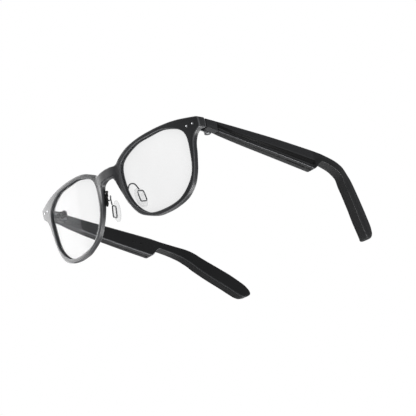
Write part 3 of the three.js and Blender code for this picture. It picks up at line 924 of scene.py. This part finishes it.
def build_pad(side, sign):
    """A soft oval shell: rings of a superellipse, narrower at the top, whose face bulges as the root of
    one less the square of the ring's share and whose back is flatter."""
    half_height = 6.5
    a, b = superellipse(full_turn(56), 3.55, half_height, 2 / 2.35)
    a = a * (1 - 0.09 * b / half_height)
    lean = np.linspace(0, math.pi / 2, 12)[1:]
    share, lift = np.sin(lean), np.cos(lean)
    shares = np.concatenate([share, share[::-1][1:]])
    heights = np.concatenate([1.15 * lift, (-0.8 * np.sqrt(lift))[::-1][1:]])
    points = on_pad(shares[:, None] * a, shares[:, None] * b, heights[:, None] + 0 * a)
    vertices, faces = capped(points)
    vertices[-2], vertices[-1] = on_pad(np.zeros(2), np.zeros(2), np.array([1.16, -0.82]))
    return piece(
        f"pad_{side}", leaning(mirrored(vertices, sign)), faces, f"nose_pad_unit_{side}", SILICONE,
        f"nose_pad_{side}",
    )


def tube(path, profile, up):
    """A closed flat profile carried along a path: its points are laid out along a direction square to
    the path and up, and along the one square to both."""
    ahead = np.gradient(path, axis=0)
    ahead /= np.linalg.norm(ahead, axis=1, keepdims=True)
    side = np.cross(ahead, up)
    side /= np.linalg.norm(side, axis=1, keepdims=True)
    top = np.cross(side, ahead)
    return path[:, None] + profile[None, :, :1] * side[:, None] + profile[None, :, 1:] * top[:, None]


def build_cage(side, sign):
    """The metal frame behind a pad: a rounded bar round a superellipse that is nearly a rectangle."""
    a, b = superellipse(full_turn(96), 2.15, 3.6, 2 / 5)
    line = evenly(np.stack([a, b], axis=1)[np.r_[0:96, 0]], 97)[:-1]
    away = outward(line, True)
    out, deep = superellipse(full_turn(12), 0.34, 0.42, 0.7)
    flat = line[:, None] + away[:, None] * out[None, :, None]
    points = on_pad(flat[..., 0], flat[..., 1], deep[None, :] - 1.9 + 0 * flat[..., 0])
    faces = grid_faces(96, 12, close_rows=True, close_columns=True)
    return piece(
        f"cage_{side}", leaning(mirrored(points.reshape(-1, 3), sign)), faces,
        f"nose_pad_unit_{side}", GUNMETAL, f"pad_cage_{side}",
    )


def build_wire(side, sign):
    """A round wire along a smooth curve through the design's points."""
    path = evenly(spline(WIRE, np.linspace(0, 1, 400)), 90)
    spin = full_turn(14)
    profile = WIRE_RADIUS * np.stack([np.cos(spin), np.sin(spin)], axis=1)
    vertices, faces = capped(tube(path, profile, np.array([0.35, -0.6, -0.2])))
    return piece(
        f"wire_{side}", leaning(mirrored(vertices, sign)), faces, "front", GUNMETAL,
        f"pad_wire_{side}",
    )


def build_bracket(side, sign):
    """The black plate under the rim that holds the wire: an oval bar along the rim's inner edge, whose
    thickness swells in four lobes as one plus a sine, and closes at both ends as the root of one less a
    high power of the distance from its middle."""
    share = np.linspace(0.0, 1.0, 70)
    path = spline([(5.55, 3.1, 5.3), (6.6, 3.15, 2.2), (7.35, 3.25, -0.4), (8.3, 3.35, -3.8)], share)
    spin = full_turn(16)
    profile = np.stack([0.95 * np.cos(spin), 0.50 * np.sin(spin)], axis=1)
    swell = 1 + 0.16 * np.sin(share * 8 * math.pi)
    size = swell * np.sqrt(np.clip(1 - np.abs(2 * share - 1) ** 14, 0.01, 1))
    rings = tube(path, profile, np.array([-0.94, 0.0, -0.34]))
    rings = path[:, None] + (rings - path[:, None]) * size[:, None, None]
    vertices, faces = capped(rings)
    return piece(
        f"bracket_{side}", leaning(mirrored(vertices, sign)), faces, "front", BLACK_STEEL,
        f"pad_bracket_{side}",
    )


def under_axes(place):
    """The middle of a temple's underside at a place, and the unit directions along it and out of it."""
    rows = temple_stations(np.array([place - 0.01, place, place + 0.01]))
    middle = np.stack([rows[:, 4] - (rows[:, 5] - COVER) / 2, rows[:, 2], rows[:, 3]], axis=1)
    along = (middle[2] - middle[0]) / np.linalg.norm(middle[2] - middle[0])
    return middle[1], along, np.cross(along, [1.0, 0.0, 0.0])


def build_port(side, sign, place, end):
    """A microphone port: the profile of radius and height below, turned about the underside's normal, a
    low collar round a sunk screen."""
    profile = np.array([
        (0.80, -0.4), (0.80, 0.03), (0.74, 0.09), (0.62, 0.10), (0.55, 0.04), (0.50, -0.14), (0.25, -0.16),
    ])
    turn = full_turn(28)
    middle, along, down = under_axes(place)
    ring = np.cos(turn)[:, None] * along + np.sin(turn)[:, None] * np.array([1.0, 0.0, 0.0])
    points = middle + profile[:, None, :1] * ring + profile[:, None, 1:] * down
    vertices, faces = capped(points)
    return piece(
        f"port_{side}_{end}", standing(mirrored(vertices, sign)), faces, f"temple_{side}", SCREEN,
        f"microphone_{side}_{end}",
    )


def build_vent(side, sign):
    """The speaker's slot: a flat strip of screen along the underside between two places, its section a
    low arch, with both ends narrowed as the root of one less a high power of the distance from its
    middle."""
    share = np.linspace(0.0, 1.0, 60)
    rows = temple_stations(VENT[0] + (VENT[1] - VENT[0]) * share)
    path = np.stack([rows[:, 4] - (rows[:, 5] - COVER) / 2, rows[:, 2], rows[:, 3]], axis=1)
    across = np.linspace(-1, 1, 9)
    profile = np.concatenate([
        np.stack([0.6 * across, 0.05 + 0.05 * (1 - across**2)], axis=1), [(0.6, -0.3), (-0.6, -0.3)],
    ])
    rings = tube(path, profile, np.array([0.0, -0.1, -1.0]))
    narrow = np.sqrt(np.clip(1 - np.abs(2 * share - 1) ** 20, 0.02, 1))
    scale = np.stack([narrow, np.ones(60), np.ones(60)], axis=1)
    rings = path[:, None] + (rings - path[:, None]) * scale[:, None]
    vertices, faces = capped(rings)
    return piece(
        f"vent_{side}", standing(mirrored(vertices, sign)), faces, f"temple_{side}", SCREEN,
        f"speaker_mesh_{side}",
    )


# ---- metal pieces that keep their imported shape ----
def refined(node, name, body, material, bevel=0.12):
    """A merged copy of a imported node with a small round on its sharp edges."""
    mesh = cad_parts[node].data.copy()
    work = bmesh.new()
    work.from_mesh(mesh)
    bmesh.ops.remove_doubles(work, verts=work.verts, dist=2e-6)
    bmesh.ops.dissolve_limit(work, angle_limit=math.radians(1.0), verts=work.verts, edges=work.edges)
    work.to_mesh(mesh)
    work.free()
    mesh.materials.clear()
    mesh.materials.append(material)
    mesh.shade_smooth()
    made = shown(name, mesh)
    rounding = made.modifiers.new("round", "BEVEL")
    rounding.width = bevel * MM
    rounding.segments = 2
    rounding.limit_method = "ANGLE"
    rounding.angle_limit = math.radians(35)
    rounding.harden_normals = True
    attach(made, body)
    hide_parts(node)
    return made


def refinish(node, material):
    """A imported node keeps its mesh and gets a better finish."""
    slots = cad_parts[node].data.materials
    slots.clear()
    slots.append(material)


# ---- the object ----
build_front()
for side, sign in SIDES:
    build_lens(side, sign)
    for x, end in zip(RIVET_X, ("inner", "outer")):
        build_rivet(side, sign, x, end)
    build_pad(side, sign)
    build_cage(side, sign)
    build_wire(side, sign)
    build_bracket(side, sign)
    build_vent(side, sign)
    temple = f"temple_{side}"
    refined(f"hinge_front_leaf_{side}", f"front_leaf_{side}", "front", DARK_STEEL)
    refined(f"hinge_temple_leaf_{side}", f"temple_leaf_{side}", temple, DARK_STEEL)
    refined(f"hinge_screw_{side}", f"screw_{side}", "front", POLISHED, 0.1)
    refined(f"leaf_screw_{side}", f"small_screw_{side}", "front", POLISHED, 0.12)
    build_temple_block(
        f"sleeve_{side}", f"connector_sleeve_{side}", side, sign,
        (0.0, SLEEVE_END), (0.22, 0.16, 0.16, 0.16, 0.0), SLEEVE, "whole",
    )
    build_temple_block(
        f"temple_shell_{side}", f"outer_shell_{side}", side, sign,
        (SHELL_START, 3.0), (0.12, 1.8, 2.0, 5.6, 2.0), TEMPLE, "shell",
    )
    build_temple_block(
        f"temple_cover_{side}", f"inner_cover_{side}", side, sign,
        (SHELL_START, 3.0), (0.12, 0.5, 2.0, 5.6, 2.0), TEMPLE, "cover",
    )
    for node, finish in zip(
        ("circuit_board", "touch_film", "flex_cable", "speaker", "battery"),
        (CIRCUIT, FILM, FILM, SPEAKER_CASE, FOIL),
    ):
        refinish(f"{node}_{side}", finish)
    for end, place in zip(("front", "rear"), MIC_PLACES):
        build_port(side, sign, place, end)
        refined(
            f"charging_contact_{side}_{end}", f"contact_{side}_{end}", temple,
            NICKEL, 0.15,
        )


# ---- the studio ----
ROOM_LOW, ROOM_HIGH = 0.10, 0.24  # the room's strength from below and from above
FLOOR_Z = -0.60
CAMERA_PLACE = (0.48297, -0.55042, -0.26716)
CAMERA_AHEAD = (-0.61254, 0.69368, 0.37895)
CAMERA_RIGHT = (0.69338, 0.70172, -0.16372)
CAMERA_LENS = 108.17


def build_floor():
    """A wide pale floor well below the glasses, with the faintest mottling. It looks evenly lit and
    throws no light of its own on the glasses."""
    f = Finish("studio_floor")
    cloud = f.noise(0.4, 2.0)
    colour = f.tint(f.spread(cloud, 0.3, 0.7), (0.80, 0.80, 0.80), (0.84, 0.84, 0.84))
    f.set(Base_Color=colour, Roughness=0.9)
    lit = f.node("ShaderNodeEmission", {}, {"Color": colour, "Strength": 1.0})
    looked_at = f.node("ShaderNodeLightPath", out="Is Camera Ray")
    seen = f.node("ShaderNodeMixShader", {}, {0: looked_at, 1: Wire(f, f.shader.outputs[0]), 2: lit})
    f.feed(next(n for n in f.tree.nodes if n.type == "OUTPUT_MATERIAL").inputs["Surface"], seen)
    reach = np.array([(-4, -4), (4, -4), (4, 4), (-4, 4)], float)
    vertices = np.concatenate([reach, np.full((4, 1), FLOOR_Z)], axis=1)
    mesh = bpy.data.meshes.new("floor")
    mesh.from_pydata(vertices.tolist(), [], [(0, 1, 2, 3)])
    mesh.materials.append(f.material)
    floor = shown("floor", mesh)


def soft_light(name, direction, distance, width, height, power, target=(0.0, 0.0, 0.025)):
    """A rectangular light seen from the target in a given direction."""
    lamp = bpy.data.lights.new(name, "AREA")
    lamp.shape = "RECTANGLE"
    lamp.size, lamp.size_y, lamp.energy = width, height, power
    made = shown(name, lamp)
    away = Vector(direction).normalized()
    made.location = Vector(target) + away * distance
    made.rotation_euler = away.to_track_quat("Z", "Y").to_euler()


def build_world():
    """White to the eye, and to the surfaces a dim room that grows brighter upwards."""
    world = bpy.data.worlds.new("studio")
    bpy.context.scene.world = world
    world.use_nodes = True
    tree = world.node_tree
    tree.nodes.clear()
    new = tree.nodes.new
    link = tree.links.new
    seen, room = new("ShaderNodeBackground"), new("ShaderNodeBackground")
    seen.inputs["Color"].default_value = (1, 1, 1, 1)
    seen.inputs["Strength"].default_value = 1.0
    room.inputs["Color"].default_value = (0.98, 0.99, 1.0, 1)
    around, split = new("ShaderNodeTexCoord"), new("ShaderNodeSeparateXYZ")
    link(around.outputs["Generated"], split.inputs[0])
    rise = new("ShaderNodeMapRange")
    rise.interpolation_type = "SMOOTHSTEP"
    for key, value in zip(range(1, 5), (0.0, 0.5, ROOM_LOW, ROOM_HIGH)):
        rise.inputs[key].default_value = value
    link(split.outputs["Z"], rise.inputs[0])
    link(rise.outputs[0], room.inputs["Strength"])
    path, mix, out = new("ShaderNodeLightPath"), new("ShaderNodeMixShader"), new("ShaderNodeOutputWorld")
    link(path.outputs["Is Camera Ray"], mix.inputs[0])
    link(room.outputs[0], mix.inputs[1])
    link(seen.outputs[0], mix.inputs[2])
    link(mix.outputs[0], out.inputs["Surface"])


def build_camera():
    """A long lens, low in front on the wearer's left, looking up at the glasses and rolled a little."""
    camera = shown("camera", bpy.data.cameras.new("camera"))
    camera.data.lens = CAMERA_LENS
    camera.data.sensor_width = 36.0
    camera.data.clip_start = 0.01
    forward = Vector(CAMERA_AHEAD).normalized()
    right = Vector(CAMERA_RIGHT)
    right = (right - forward * right.dot(forward)).normalized()
    up = right.cross(forward)
    turn = Matrix((right, up, -forward)).transposed()
    camera.matrix_world = Matrix.Translation(CAMERA_PLACE) @ turn.to_4x4()
    bpy.context.scene.camera = camera


build_floor()
build_world()
build_camera()
soft_light("key", (-0.88, -0.36, 0.32), 0.9, 0.5, 0.7, 6.3)
soft_light("low_edge", (0.45, 0.70, -0.55), 0.8, 0.3, 0.3, 2.6)
soft_light("low_left", (-0.65, 0.67, -0.35), 0.9, 0.4, 0.4, 0.5)
soft_light("top", (0.1, -0.1, 1.0), 1.0, 0.9, 0.9, 1.2)
bpy.context.scene.view_settings.view_transform = "Standard"
